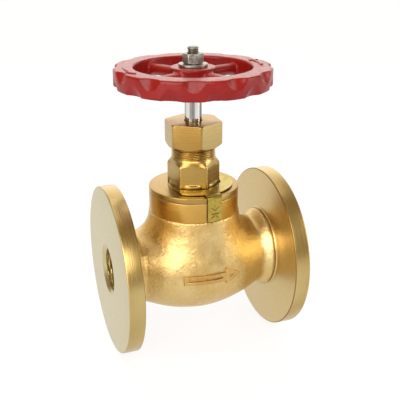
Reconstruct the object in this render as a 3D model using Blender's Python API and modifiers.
"""A flanged bronze globe valve with a screwed bonnet and an inside-screw, rising stem.

Metres, +Z up.  The pipe axis runs along X and the stem axis is the world Z axis.  The origin is the
middle of the underside, where the two flange rims stand.  The valve is modelled shut, with its disc on
the seat ring.  Every height called `h` is in millimetres above the pipe axis.
"""

import math

import bmesh
import bpy
from mathutils import Matrix, Vector

MM = 0.001
GAP = 0.3  # clearance left between pieces that touch

# Pipe ends
FACE_TO_FACE = 130.0
FLANGE_R = 60.0
FLANGE_T = 11.0
FLANGE_STEPS = 48
PORT_R = 12.7  # DN25 waterway
PORT_THREAD_R = 15.9  # mean radius of the 1 inch pipe thread cut in the mouth
PORT_THREAD_DEPTH = 19.0
END_X = FACE_TO_FACE / 2
FLANGE_BACK_X = END_X - FLANGE_T

# The rims are polygons that stand on a flat, so the pipe axis is this high.
AXIS_Z = FLANGE_R * math.cos(math.pi / FLANGE_STEPS)

# Body casting
BULB_SEMI_AXES = (56.4, 39.4, 34.5)
BULB_H = -1.5
NECK_R = 31.8
NECK_CAST_R = 32.7
NECK_BAND_H = 39.6
NECK_TOP_H = 53.0
NECK_BORE_R = 24.0
WAIST_R = 23.5
SEAT_BORE_R = 15.7
SEAT_TOP_H = 4.0

# Bonnet
BONNET_FLANGE_H = (53.9, 57.4)
BONNET_PLUG_R = NECK_BORE_R - GAP
BONNET_PLUG_H = 38.0
BONNET_HEX_FLATS = 32.4
BONNET_HEX_H = (56.8, 76.5)  # its foot is buried in the flange
BONNET_HEX_TURN = math.radians(39.8)
BOSS_R = 17.3
BOSS_TOP_H = 60.6
GLAND_NECK_R = 15.5
GLAND_NECK_TOP_H = 94.0

# Stem and its 16 x 4 trapezoidal thread
STEM_R = 5.9
THREAD_LEAD = 4.0
THREAD_CREST_R = 8.0
THREAD_ROOT_R = 6.0
THREAD_START_H = 34.0
THREAD_TURNS = 7
THREAD_CREST_WIDTH = 1.46
THREAD_ROOT_WIDTH = 2.54
NUT_THREAD_H = (46.0, 64.0)  # where the bonnet carries the mating thread
SQUARE_H = 122.0
SQUARE_FLATS = 8.3
STUD_R = 3.9
STUD_H = (138.6, 154.0)

# Stuffing box
BOX_R = 11.0
BOX_H = (80.0, GLAND_NECK_TOP_H)
PACKING_RINGS = 4
PACKING_WASHER_T = 1.2
PACKING_TOP_H = 92.0

# Gland nut
GLAND_NUT_FLATS = 36.0
GLAND_NUT_H = (85.5, 103.7)
GLAND_NUT_TURN = math.radians(27.1)

# Handwheel
RIM_OUTER_R = 53.7
RIM_INNER_R = 40.2
RIM_H = (128.3, 141.2)
HUB_R = 15.3
HUB_H = (SQUARE_H + GAP, 140.7)
SPOKES = 4
SPOKE_H = 134.6
SPOKE_SEMI_AXES = (3.9, 4.9)  # upright and across
SPOKE_TURN = math.radians(25.8)
NOTCHES = 12
NOTCH_TURN = math.radians(10.8)
NOTCH_CUTTER_R = 17.0
NOTCH_BITE = 2.2
NOTCH_DROP = 6.9

# Wheel fixing
WASHER_R = 9.9
WASHER_T = 1.7
WHEEL_NUT_FLATS = 12.6
WHEEL_NUT_T = 6.6
WHEEL_NUT_TURN = math.radians(42.8)

# Identification tag that clips round the bonnet's hexagon, open on one side
TAG_T = 0.8
TAG_H = 58.0
TAG_PLATE_R = 26.3
TAG_PLATE_OFFSET = (1.2, -1.0)
TAG_HOLE_R = 19.3
TAG_SIDE = 18.5  # the plate is cut off this far from the stem axis, on its open side
TAG_OPEN_ALONG, TAG_OPEN_ACROSS = 7.7, 8.0  # corner of the quarter that is cut away
TAG_TAB_WIDTH = 10.9
TAG_TAB_START_R = 23.0
TAG_TAB_LOW_H = 40.2
TAG_ANGLE = math.radians(276.7)

COLOURS = {
    "bronze": ((0.80, 0.55, 0.24), 0.38, 1.0),
    "brass": ((0.78, 0.60, 0.28), 0.30, 1.0),
    "tag_brass": ((0.66, 0.60, 0.30), 0.35, 1.0),
    "stainless": ((0.66, 0.66, 0.66), 0.22, 1.0),
    "zinc_steel": ((0.58, 0.60, 0.58), 0.35, 1.0),
    "red_paint": ((0.50, 0.03, 0.03), 0.35, 0.0),
    "graphite": ((0.05, 0.05, 0.055), 0.60, 0.0),
    "gasket_fibre": ((0.10, 0.12, 0.10), 0.80, 0.0),
}


# ---------------------------------------------------------------- scene and modelling helpers


def clear_scene():
    for obj in list(bpy.data.objects):
        bpy.data.objects.remove(obj, do_unlink=True)


def new_collection(name):
    made = bpy.data.collections.new(name)
    bpy.context.scene.collection.children.link(made)
    return made


def make_materials():
    made = {}
    for name, (colour, roughness, metallic) in COLOURS.items():
        material = bpy.data.materials.new(name)
        material.use_nodes = True
        shader = material.node_tree.nodes["Principled BSDF"]
        shader.inputs["Base Color"].default_value = (*colour, 1.0)
        shader.inputs["Roughness"].default_value = roughness
        shader.inputs["Metallic"].default_value = metallic
        made[name] = material
    return made


def add_object(name, mesh, collection):
    obj = bpy.data.objects.new(name, mesh)
    collection.objects.link(obj)
    return obj


def place(obj, h=0.0, x=0.0, y=0.0):
    """Stands an object's own origin at height h above the pipe axis."""
    obj.location = Vector((x * MM, y * MM, AXIS_Z * MM + h * MM))
    return obj


def turned(name, outline, steps=48, start=0.0, ring=False, collection=None):
    """A solid of revolution about its own Z axis.

    outline holds (radius, height) in mm and runs down the outer side.  It starts and ends on the axis,
    or it is a closed loop when ring is true.
    """
    mesh = bpy.data.meshes.new(name)
    count = len(outline)
    points = [(r * MM * math.cos(start), r * MM * math.sin(start), h * MM) for r, h in outline]
    edges = [(i, i + 1) for i in range(count - 1)]
    if ring:
        edges.append((count - 1, 0))
    mesh.from_pydata(points, edges, [])
    obj = add_object(name, mesh, collection or CUTTERS)
    screw = obj.modifiers.new("turn", "SCREW")
    screw.steps = screw.render_steps = steps
    screw.use_merge_vertices = True
    screw.merge_threshold = 1e-5
    screw.use_smooth_shade = True
    return obj


def turned_part(name, outline, steps=48, ring=False):
    """A turned piece that is a node, standing on the stem axis."""
    return place(turned(name, outline, steps, ring=ring, collection=PARTS))


def tube_outline(inner, outer, low, high):
    return [(inner, high), (outer, high), (outer, low), (inner, low)]


def primitive(name, collection=None):
    """Names the primitive that was just added and files it in a collection."""
    obj = bpy.context.object
    obj.name = name
    for old in list(obj.users_collection):
        old.objects.unlink(obj)
    (collection or CUTTERS).objects.link(obj)
    return obj


def cylinder(name, r, low, high, vertices=40, axis="Z", collection=None):
    """A cylinder of radius r from low to high along Z or X, centred on the stem axis or the pipe axis."""
    bpy.ops.mesh.primitive_cylinder_add(vertices=vertices, radius=r * MM, depth=(high - low) * MM)
    obj = primitive(name, collection)
    middle = (low + high) / 2
    if axis == "X":
        obj.rotation_euler = (0.0, math.pi / 2, 0.0)
        return place(obj, 0.0, x=middle)
    return place(obj, middle)


def hexagon(name, flats, low, high, turn, collection=None):
    """A hexagonal prism with one corner at the angle turn about the stem axis."""
    bpy.ops.mesh.primitive_cylinder_add(
        vertices=6, radius=flats / math.sqrt(3) * MM, depth=(high - low) * MM
    )
    obj = primitive(name, collection)
    # The primitive's first corner lies on +Y.
    obj.rotation_euler = (0.0, 0.0, turn - math.pi / 2)
    return place(obj, (low + high) / 2)


def ball(name, semi_axes, centre, segments=40, rings=20):
    bpy.ops.mesh.primitive_uv_sphere_add(segments=segments, ring_count=rings, radius=MM)
    obj = primitive(name)
    obj.scale = semi_axes
    bpy.ops.object.transform_apply(location=False, rotation=False, scale=True)
    x, y, h = centre
    return place(obj, h, x=x, y=y)


def boolean(obj, other, operation="DIFFERENCE"):
    modifier = obj.modifiers.new(f"{operation.lower()}_{other.name}", "BOOLEAN")
    modifier.operation = operation
    modifier.object = other
    modifier.solver = "EXACT"
    return obj


def evaluated_mesh(obj):
    bpy.context.view_layer.update()
    graph = bpy.context.evaluated_depsgraph_get()
    return bpy.data.meshes.new_from_object(obj.evaluated_get(graph), depsgraph=graph)


def helix_ridge(name, root_r, crest_r, root_width, crest_width, start_h, turns, steps=12):
    """A right-handed trapezoidal thread ridge, closed at both ends, its root sunk below root_r."""
    sunk_r = root_r - 0.8
    loop = [
        (sunk_r, root_width / 2),
        (root_r, root_width / 2),
        (crest_r, crest_width / 2),
        (crest_r, -crest_width / 2),
        (root_r, -root_width / 2),
        (sunk_r, -root_width / 2),
    ]
    ridge = turned(name + "_sweep", loop, steps, ring=True)
    sweep = ridge.modifiers["turn"]
    sweep.screw_offset = THREAD_LEAD * MM
    sweep.iterations = turns
    mesh = evaluated_mesh(ridge)
    bpy.data.objects.remove(ridge, do_unlink=True)
    ends = bmesh.new()
    ends.from_mesh(mesh)
    bmesh.ops.remove_doubles(ends, verts=ends.verts, dist=1e-6)
    bmesh.ops.holes_fill(ends, edges=ends.edges, sides=len(loop))
    bmesh.ops.recalc_face_normals(ends, faces=ends.faces)
    ends.to_mesh(mesh)
    ends.free()
    return place(add_object(name, mesh, CUTTERS), start_h)


def shade_round(obj, degrees=35.0):
    """Smooth shading with sharp edges where the facets meet at a real corner."""
    obj.data.shade_smooth()
    obj.data.set_sharp_from_angle(angle=math.radians(degrees))


def finish(obj, material):
    """Makes the modifiers' result the object's own mesh, in its material."""
    mesh = evaluated_mesh(obj)
    obj.modifiers.clear()
    obj.data = mesh
    mesh.materials.clear()
    mesh.materials.append(MATERIALS[material])
    shade_round(obj)
    return obj


# ---------------------------------------------------------------- body and seat


def end_outline():
    """One pipe end, turned about X, from inside the bulb out to the flange face."""
    collar_r = 29.3
    step_r = 30.3
    edge = 0.8
    return [
        (0.0, END_X),
        (FLANGE_R - edge, END_X),
        (FLANGE_R, END_X - edge),
        (FLANGE_R, FLANGE_BACK_X),
        (step_r, FLANGE_BACK_X),
        (step_r, FLANGE_BACK_X - 1.3),
        (collar_r, FLANGE_BACK_X - 1.3),
        (collar_r, FLANGE_BACK_X - 4.2),
        (WAIST_R + 0.8, FLANGE_BACK_X - 8.5),
        (WAIST_R, FLANGE_BACK_X - 10.5),
        (WAIST_R, 18.0),
        (0.0, 18.0),
    ]


def pipe_end(name, side):
    """The end on side +1 or -1 of the pipe axis, with a flat of its rim downwards."""
    obj = turned(name, end_outline(), FLANGE_STEPS, start=math.pi / FLANGE_STEPS)
    obj.rotation_euler = (0.0, side * math.pi / 2, 0.0)
    return place(obj)


def port_cutter(name, side):
    """The waterway from the flange face into the bulb: chamfer, pipe thread and bore."""
    mouth_r = 17.8
    outline = [
        (0.0, END_X + 1.0),
        (mouth_r + 1.0, END_X + 1.0),
        (PORT_THREAD_R, END_X - (mouth_r - PORT_THREAD_R)),
        (PORT_THREAD_R, END_X - PORT_THREAD_DEPTH),
        (PORT_R, END_X - PORT_THREAD_DEPTH - 2.0),
        (PORT_R, 31.0),
        (0.0, 31.0),
    ]
    obj = turned(name, outline, 28)
    obj.rotation_euler = (0.0, side * math.pi / 2, 0.0)
    return place(obj)


def build_body():
    body = ball("body", BULB_SEMI_AXES, (0.0, 0.0, BULB_H), segments=32, rings=16)
    CUTTERS.objects.unlink(body)
    PARTS.objects.link(body)
    neck = [
        (0.0, NECK_TOP_H),
        (NECK_R, NECK_TOP_H),
        (NECK_R, NECK_BAND_H),
        (NECK_CAST_R, NECK_BAND_H - 0.6),
        (NECK_CAST_R + 0.6, 24.0),
        (NECK_CAST_R, 6.0),
        (0.0, 6.0),
    ]
    boolean(body, place(turned("neck_blank", neck, 40)), "UNION")
    for side, word in ((-1, "inlet"), (1, "outlet")):
        boolean(body, pipe_end(f"{word}_end", side), "UNION")

    # The lower chamber is fed by the inlet and the upper one empties into the outlet.  What is left
    # between them is the S-shaped bridge that carries the seat.
    chambers = [
        ball("lower_chamber", (32.0, 25.0, 14.5), (-8.0, 0.0, -17.0), 20, 10),
        ball("inlet_turn", (12.0, 14.0, 11.0), (-33.0, 0.0, -5.0), 16, 8),
        ball("upper_chamber", (31.0, 26.0, 13.5), (8.0, 0.0, 15.0), 20, 10),
        ball("outlet_turn", (12.0, 14.0, 12.0), (33.0, 0.0, 5.0), 16, 8),
        port_cutter("inlet_port", -1),
        port_cutter("outlet_port", 1),
    ]
    bonnet_bore = [
        (0.0, NECK_TOP_H + 1.0),
        (NECK_BORE_R + 1.5, NECK_TOP_H + 1.0),
        (NECK_BORE_R, NECK_TOP_H - 0.8),
        (NECK_BORE_R, 33.0),
        (21.5, 31.0),
        (18.3, 15.0),
        (18.3, SEAT_TOP_H - 3.1),
        (SEAT_BORE_R, SEAT_TOP_H - 3.1),
        (SEAT_BORE_R, -10.0),
        (0.0, -10.0),
    ]
    chambers.append(place(turned("bonnet_bore", bonnet_bore, 32)))
    for cutter in chambers:
        boolean(body, cutter)
    return finish(body, "bronze")


def build_seat_ring():
    """Screwed into the bridge from above; its inner corner is the conical seating face."""
    outline = [
        (13.7, SEAT_TOP_H),
        (17.5, SEAT_TOP_H),
        (18.0, SEAT_TOP_H - 0.5),
        (18.0, SEAT_TOP_H - 2.8),
        (SEAT_BORE_R - GAP, SEAT_TOP_H - 2.8),
        (SEAT_BORE_R - GAP, -6.0),
        (12.3, -6.0),
        (12.3, SEAT_TOP_H - 1.4),
    ]
    return finish(turned_part("seat_ring", outline, 28, ring=True), "stainless")


# ---------------------------------------------------------------- disc, its nut and the stem

DISC_BORE_R = 10.6
DISC_TOP_H = 20.0
DISC_NUT_TOP_H = 25.0
PIN_H = 15.6
PIN_R = 1.2
PIN_LENGTH = 4.2
PIN_OUT = 11.3  # from the stem axis to the middle of the pin


def pin_cutter(name):
    bpy.ops.mesh.primitive_cylinder_add(vertices=16, radius=(PIN_R + GAP) * MM, depth=(PIN_LENGTH + 2.6) * MM)
    obj = primitive(name)
    obj.rotation_euler = (math.pi / 2, 0.0, 0.0)
    return place(obj, PIN_H, y=-PIN_OUT - 0.9)


def build_disc():
    """The stainless disc: a cone that meets the seat, and a bored boss that takes the stem's button."""
    outline = [
        (0.0, 6.2),
        (DISC_BORE_R, 6.2),
        (DISC_BORE_R, DISC_TOP_H),
        (13.4, DISC_TOP_H),
        (13.4, 10.5),
        (15.6, 9.0),
        (15.6, 6.32),
        (11.4, 2.12),
        (11.4, 1.0),
        (0.0, 1.0),
    ]
    disc = turned_part("disc", outline, 28)
    boolean(disc, pin_cutter("disc_pin_hole"))
    return finish(disc, "stainless")


def build_disc_nut():
    """Screws into the disc over the stem's button, so that the disc hangs on it and can swivel."""
    outline = [
        (8.4, DISC_NUT_TOP_H - 1.6),
        (10.0, DISC_NUT_TOP_H),
        (11.4, DISC_NUT_TOP_H),
        (13.2, DISC_NUT_TOP_H - 1.0),
        (13.2, DISC_TOP_H + GAP),
        (DISC_BORE_R - GAP, DISC_TOP_H + GAP),
        (DISC_BORE_R - GAP, 11.6),
        (8.4, 11.6),
    ]
    nut = turned_part("disc_nut", outline, 24, ring=True)
    flats = hexagon("disc_nut_flats", 23.4, DISC_TOP_H - 0.1, DISC_NUT_TOP_H + 2.0, 0.0)
    shank = cylinder("disc_nut_shank", DISC_BORE_R + 1.0, 10.0, DISC_TOP_H + GAP / 2, 36)
    boolean(flats, shank, "UNION")
    boolean(nut, flats, "INTERSECT")
    boolean(nut, pin_cutter("disc_nut_pin_hole"))
    return finish(nut, "stainless")


def build_disc_lock_pin():
    """Pinned through disc and nut so that the nut cannot back off."""
    bpy.ops.mesh.primitive_cylinder_add(vertices=16, radius=PIN_R * MM, depth=PIN_LENGTH * MM)
    pin = primitive("disc_lock_pin", PARTS)
    pin.rotation_euler = (math.pi / 2, 0.0, 0.0)
    place(pin, PIN_H, y=-PIN_OUT)
    return finish(pin, "stainless")


def build_stem():
    outline = [
        (0.0, SQUARE_H),
        (STEM_R - 0.5, SQUARE_H),
        (STEM_R, SQUARE_H - 0.6),
        (STEM_R, 68.0),
        (THREAD_ROOT_R, 66.0),
        (THREAD_ROOT_R, THREAD_START_H),
        (THREAD_CREST_R, THREAD_START_H - 2.0),
        (THREAD_CREST_R, 11.2),
        (10.2, 11.2),
        (10.2, 7.4),
        (4.0, 6.5),
        (0.0, 6.5),
    ]
    stem = turned_part("stem", outline, 24)
    ridge = helix_ridge(
        "stem_thread",
        THREAD_ROOT_R,
        THREAD_CREST_R,
        THREAD_ROOT_WIDTH,
        THREAD_CREST_WIDTH,
        THREAD_START_H,
        THREAD_TURNS,
    )
    boolean(stem, ridge, "UNION")
    bpy.ops.mesh.primitive_cube_add(size=1.0)
    square = primitive("stem_square")
    low, high = SQUARE_H - 1.0, STUD_H[0]
    square.scale = (SQUARE_FLATS * MM, SQUARE_FLATS * MM, (high - low) * MM)
    square.rotation_euler = (0.0, 0.0, SPOKE_TURN)
    place(square, (low + high) / 2)
    boolean(stem, square, "UNION")
    stud = [
        (0.0, STUD_H[1]),
        (STUD_R - 0.7, STUD_H[1]),
        (STUD_R, STUD_H[1] - 0.7),
        (STUD_R, STUD_H[0] - 1.0),
        (0.0, STUD_H[0] - 1.0),
    ]
    boolean(stem, place(turned("stem_stud", stud, 20)), "UNION")
    return finish(stem, "stainless")


# ---------------------------------------------------------------- bonnet, stuffing box and gland


def chamfered_hexagon(name, flats, low, high, turn, low_r, high_r, slope=0.58, collection=None):
    """A hexagon whose corners are turned away to low_r at the bottom and high_r at the top."""
    corner_r = flats / math.sqrt(3)
    beyond = 1.5
    cone = [
        (0.0, high + beyond),
        (high_r - beyond / slope, high + beyond),
        (corner_r + 1.0, high - (corner_r + 1.0 - high_r) * slope),
        (corner_r + 1.0, low + (corner_r + 1.0 - low_r) * slope),
        (low_r - beyond / slope, low - beyond),
        (0.0, low - beyond),
    ]
    prism = hexagon(name, flats, low, high, turn, collection)
    boolean(prism, place(turned(name + "_chamfer", cone, 30)), "INTERSECT")
    return prism


def build_bonnet():
    low, high = BONNET_FLANGE_H
    outline = [
        (0.0, GLAND_NECK_TOP_H),
        (GLAND_NECK_R, GLAND_NECK_TOP_H),
        (GLAND_NECK_R, BOSS_TOP_H + 1.0),
        (BOSS_R, BOSS_TOP_H),
        (BOSS_R, high),
        (NECK_R, high),
        (NECK_R, low),
        (BONNET_PLUG_R, low),
        (BONNET_PLUG_R, BONNET_PLUG_H),
        (0.0, BONNET_PLUG_H),
    ]
    bonnet = turned_part("bonnet", outline, 40)
    hexed = chamfered_hexagon(
        "bonnet_hex", BONNET_HEX_FLATS, *BONNET_HEX_H, BONNET_HEX_TURN, 20.5, 16.4, 0.8
    )
    boolean(bonnet, hexed, "UNION")

    relief_r = THREAD_CREST_R + 1.4
    minor_r = THREAD_ROOT_R + GAP
    bore = [
        (0.0, BOX_H[1] + 1.0),
        (BOX_R, BOX_H[1] + 1.0),
        (BOX_R, BOX_H[0]),
        (STEM_R + 0.45, BOX_H[0]),
        (STEM_R + 0.45, 77.0),
        (relief_r, 75.0),
        (relief_r, NUT_THREAD_H[1]),
        (minor_r, NUT_THREAD_H[1] - 1.0),
        (minor_r, NUT_THREAD_H[0] + 1.0),
        (relief_r, NUT_THREAD_H[0]),
        (relief_r, BONNET_PLUG_H + 2.4),
        (relief_r + 4.0, BONNET_PLUG_H - 1.6),
        (0.0, BONNET_PLUG_H - 1.6),
    ]
    boolean(bonnet, place(turned("bonnet_through_bore", bore, 24)))
    groove = helix_ridge(
        "bonnet_thread",
        minor_r,
        THREAD_CREST_R + GAP,
        THREAD_ROOT_WIDTH + 2 * GAP,
        THREAD_CREST_WIDTH + 2 * GAP,
        THREAD_START_H + 2 * THREAD_LEAD,
        6,
    )
    boolean(bonnet, groove)
    return finish(bonnet, "brass")


def build_bonnet_gasket():
    outline = tube_outline(NECK_BORE_R + 0.6, NECK_R - 0.9, NECK_TOP_H + 0.25, NECK_TOP_H + 0.65)
    return finish(turned_part("bonnet_gasket", outline, 36, ring=True), "gasket_fibre")


def build_packing():
    """A brass washer at the bottom of the stuffing box, then square rings cut from packing cord."""
    inner, outer = STEM_R + GAP, BOX_R - GAP
    low = BOX_H[0] + GAP
    washer = tube_outline(inner + 0.1, outer, low, low + PACKING_WASHER_T)
    made = [finish(turned_part("packing_washer", washer, 24, ring=True), "brass")]
    low += PACKING_WASHER_T + GAP
    pitch = (PACKING_TOP_H + GAP - low) / PACKING_RINGS
    for i in range(PACKING_RINGS):
        base = low + i * pitch
        ring = tube_outline(inner, outer, base, base + pitch - GAP)
        made.append(finish(turned_part(f"packing_ring_{i + 1}", ring, 24, ring=True), "graphite"))
    return made


def build_gland():
    """The follower that the gland nut pushes down on to the packing."""
    outline = [
        (STEM_R + 0.4, 98.6),
        (13.2, 98.6),
        (13.5, 98.3),
        (13.5, 96.9),
        (BOX_R - GAP, 96.7),
        (BOX_R - GAP, PACKING_TOP_H + GAP),
        (STEM_R + 0.4, PACKING_TOP_H + GAP),
    ]
    return finish(turned_part("gland", outline, 24, ring=True), "brass")


def build_gland_nut():
    low, high = GLAND_NUT_H
    roof = 98.9
    nut = chamfered_hexagon(
        "gland_nut", GLAND_NUT_FLATS, low, high, GLAND_NUT_TURN, 16.6, 19.8, collection=PARTS
    )
    bore = [
        (0.0, high + 1.0),
        (STEM_R + 0.5, high + 1.0),
        (STEM_R + 0.5, roof),
        (GLAND_NECK_R + GAP, roof),
        (GLAND_NECK_R + GAP, low + 0.4),
        (GLAND_NECK_R + 0.9, low - 1.0),
        (0.0, low - 1.0),
    ]
    boolean(nut, place(turned("gland_nut_bore", bore, 40)))
    return finish(nut, "brass")


# ---------------------------------------------------------------- handwheel and its fixing


def notch_cutter(name, angle, top):
    """A leaning cylinder that scoops a half-round thumb notch out of the rim's top or bottom edge."""
    bpy.ops.mesh.primitive_cylinder_add(vertices=28, radius=NOTCH_CUTTER_R * MM, depth=40.0 * MM)
    obj = primitive(name)
    lean = math.atan2(NOTCH_BITE, NOTCH_DROP)
    edge_h = RIM_H[1] if top else RIM_H[0]
    side = 1.0 if top else -1.0
    # The innermost line of the cylinder runs from NOTCH_BITE inside the edge out to the rim's wall,
    # NOTCH_DROP away from the edge.
    middle_r = RIM_OUTER_R - NOTCH_BITE / 2 + NOTCH_CUTTER_R * math.cos(lean)
    middle_h = edge_h - side * NOTCH_DROP / 2 + side * NOTCH_CUTTER_R * math.sin(lean)
    turn = Matrix.Rotation(angle, 4, "Z")
    tip = Matrix.Rotation(-side * lean, 4, "Y")
    spot = Matrix.Translation((middle_r * MM, 0.0, AXIS_Z * MM + middle_h * MM))
    obj.matrix_world = turn @ spot @ tip
    return obj


def spoke(name, angle):
    """An oval bar from the hub to the rim."""
    inner, outer = HUB_R - 3.0, RIM_INNER_R + 3.0
    bpy.ops.mesh.primitive_cylinder_add(vertices=12, radius=MM, depth=(outer - inner) * MM)
    obj = primitive(name)
    turn = Matrix.Rotation(angle, 4, "Z")
    lie = Matrix.Rotation(math.pi / 2, 4, "Y")
    spot = Matrix.Translation(((inner + outer) / 2 * MM, 0.0, (AXIS_Z + SPOKE_H) * MM))
    obj.matrix_world = turn @ spot @ lie @ Matrix.Diagonal((*SPOKE_SEMI_AXES, 1.0, 1.0))
    return obj


def build_handwheel():
    low, high = RIM_H
    soft = 1.8
    rim = [
        (RIM_INNER_R + soft, high),
        (RIM_OUTER_R - soft, high),
        (RIM_OUTER_R, high - soft),
        (RIM_OUTER_R, low + soft),
        (RIM_OUTER_R - soft, low),
        (RIM_INNER_R + soft, low),
        (RIM_INNER_R, low + soft),
        (RIM_INNER_R, high - soft),
    ]
    wheel = turned_part("handwheel", rim, 48, ring=True)
    for i in range(NOTCHES):
        step = 2 * math.pi / NOTCHES
        boolean(wheel, notch_cutter(f"top_notch_{i}", NOTCH_TURN + i * step, True))
        boolean(wheel, notch_cutter(f"low_notch_{i}", NOTCH_TURN + (i + 0.5) * step, False))
    hub = [
        (0.0, HUB_H[1]),
        (HUB_R - 1.0, HUB_H[1]),
        (HUB_R, HUB_H[1] - 1.0),
        (HUB_R, 130.0),
        (HUB_R - 2.5, 127.0),
        (HUB_R - 3.5, HUB_H[0]),
        (0.0, HUB_H[0]),
    ]
    hub = place(turned("hub", hub, 28))
    for i in range(SPOKES):
        boolean(hub, spoke(f"spoke_{i}", SPOKE_TURN + i * 2 * math.pi / SPOKES), "UNION")
    boolean(wheel, hub, "UNION")
    bpy.ops.mesh.primitive_cube_add(size=1.0)
    square = primitive("hub_square")
    width = (SQUARE_FLATS + 2 * GAP) * MM
    square.scale = (width, width, 30.0 * MM)
    square.rotation_euler = (0.0, 0.0, SPOKE_TURN)
    place(square, 131.0)
    boolean(wheel, square)
    return finish(wheel, "red_paint")


def build_wheel_fixing():
    low = HUB_H[1] + GAP
    outline = [
        (STUD_R + 0.5, low + WASHER_T),
        (WASHER_R - 0.3, low + WASHER_T),
        (WASHER_R, low + WASHER_T - 0.3),
        (WASHER_R, low),
        (STUD_R + 0.5, low),
    ]
    washer = finish(turned_part("handwheel_washer", outline, 24, ring=True), "zinc_steel")
    low += WASHER_T + GAP
    nut = chamfered_hexagon(
        "handwheel_nut", WHEEL_NUT_FLATS, low, low + WHEEL_NUT_T, WHEEL_NUT_TURN, 6.2, 6.2,
        collection=PARTS,
    )
    boolean(nut, cylinder("handwheel_nut_bore", STUD_R + GAP, low - 1.0, low + 9.0, 24))
    return [washer, finish(nut, "zinc_steel")]


# ---------------------------------------------------------------- identification tag


def flat_bar(name, outline, width):
    """A bar whose side view is the closed outline of (x, z) in mm, width wide across Y."""
    curve = bpy.data.curves.new(name, "CURVE")
    curve.dimensions = "2D"
    curve.fill_mode = "BOTH"
    curve.extrude = width / 2 * MM
    line = curve.splines.new("POLY")
    line.points.add(len(outline) - 1)
    for point, (x, z) in zip(line.points, outline):
        point.co = (x * MM, z * MM, 0.0, 1.0)
    line.use_cyclic_u = True
    drawn = add_object(name + "_outline", curve, CUTTERS)
    mesh = evaluated_mesh(drawn)
    bpy.data.objects.remove(drawn)
    welded = bmesh.new()
    welded.from_mesh(mesh)
    bmesh.ops.remove_doubles(welded, verts=welded.verts, dist=1e-6)
    bmesh.ops.recalc_face_normals(welded, faces=welded.faces)
    welded.to_mesh(mesh)
    welded.free()
    return add_object(name, mesh, CUTTERS)


def box_cutter(name, size, centre, turn):
    """A box with its centre at (along, across, h) in axes turned about the stem."""
    bpy.ops.mesh.primitive_cube_add(size=1.0)
    obj = primitive(name)
    x, y, h = centre
    spot = Matrix.Translation((x * MM, y * MM, h * MM))
    lift = Matrix.Translation((0.0, 0.0, AXIS_Z * MM))
    scale = Matrix.Diagonal((*(side * MM for side in size), 1.0))
    obj.matrix_world = lift @ Matrix.Rotation(turn, 4, "Z") @ spot @ scale
    return obj


def build_tag_plate():
    """A stamped plate round the foot of the hexagon, with one tab bent down outside the neck."""
    low, high = TAG_H, TAG_H + TAG_T
    middle = (low + high) / 2
    plate = cylinder("tag_plate", TAG_PLATE_R, low, high, 48, collection=PARTS)
    plate.location.xy = Vector(TAG_PLATE_OFFSET) * MM
    hole = cylinder("tag_hole", TAG_HOLE_R, low - 1.0, high + 1.0, 40)
    side = box_cutter("tag_side", (80.0, 20.0, 4.0), (0.0, -TAG_SIDE - 10.0, middle), TAG_ANGLE)
    quarter = (TAG_OPEN_ALONG - 30.0, -TAG_OPEN_ACROSS - 30.0, middle)
    mouth = box_cutter("tag_mouth", (60.0, 60.0, 3.0), quarter, TAG_ANGLE)
    wall = NECK_R + GAP
    side_view = [
        (TAG_TAB_START_R, high),
        (wall - 0.5, high),
        (wall + 0.4, high - 0.3),
        (wall + TAG_T, high - 1.2),
        (wall + TAG_T, TAG_TAB_LOW_H),
        (wall, TAG_TAB_LOW_H),
        (wall, low - 0.6),
        (wall - 0.5, low),
        (TAG_TAB_START_R, low),
    ]
    tab = flat_bar("tag_tab", side_view, TAG_TAB_WIDTH)
    upright = Matrix.Rotation(math.pi / 2, 4, "X")
    tab.matrix_world = (
        Matrix.Translation((0.0, 0.0, AXIS_Z * MM)) @ Matrix.Rotation(TAG_ANGLE, 4, "Z") @ upright
    )
    for cutter in (hole, side, mouth):
        boolean(plate, cutter)
    boolean(plate, tab, "UNION")
    return finish(plate, "tag_brass")


def main():
    build_body()
    build_seat_ring()
    build_disc()
    build_disc_nut()
    build_disc_lock_pin()
    build_stem()
    build_bonnet()
    build_bonnet_gasket()
    build_packing()
    build_gland()
    build_gland_nut()
    build_handwheel()
    build_wheel_fixing()
    build_tag_plate()
    for cutter in CUTTERS.objects:
        cutter.hide_render = True
        cutter.display_type = "WIRE"


clear_scene()
PARTS = new_collection("globe_valve")
CUTTERS = new_collection("cutters")
MATERIALS = make_materials()
main()
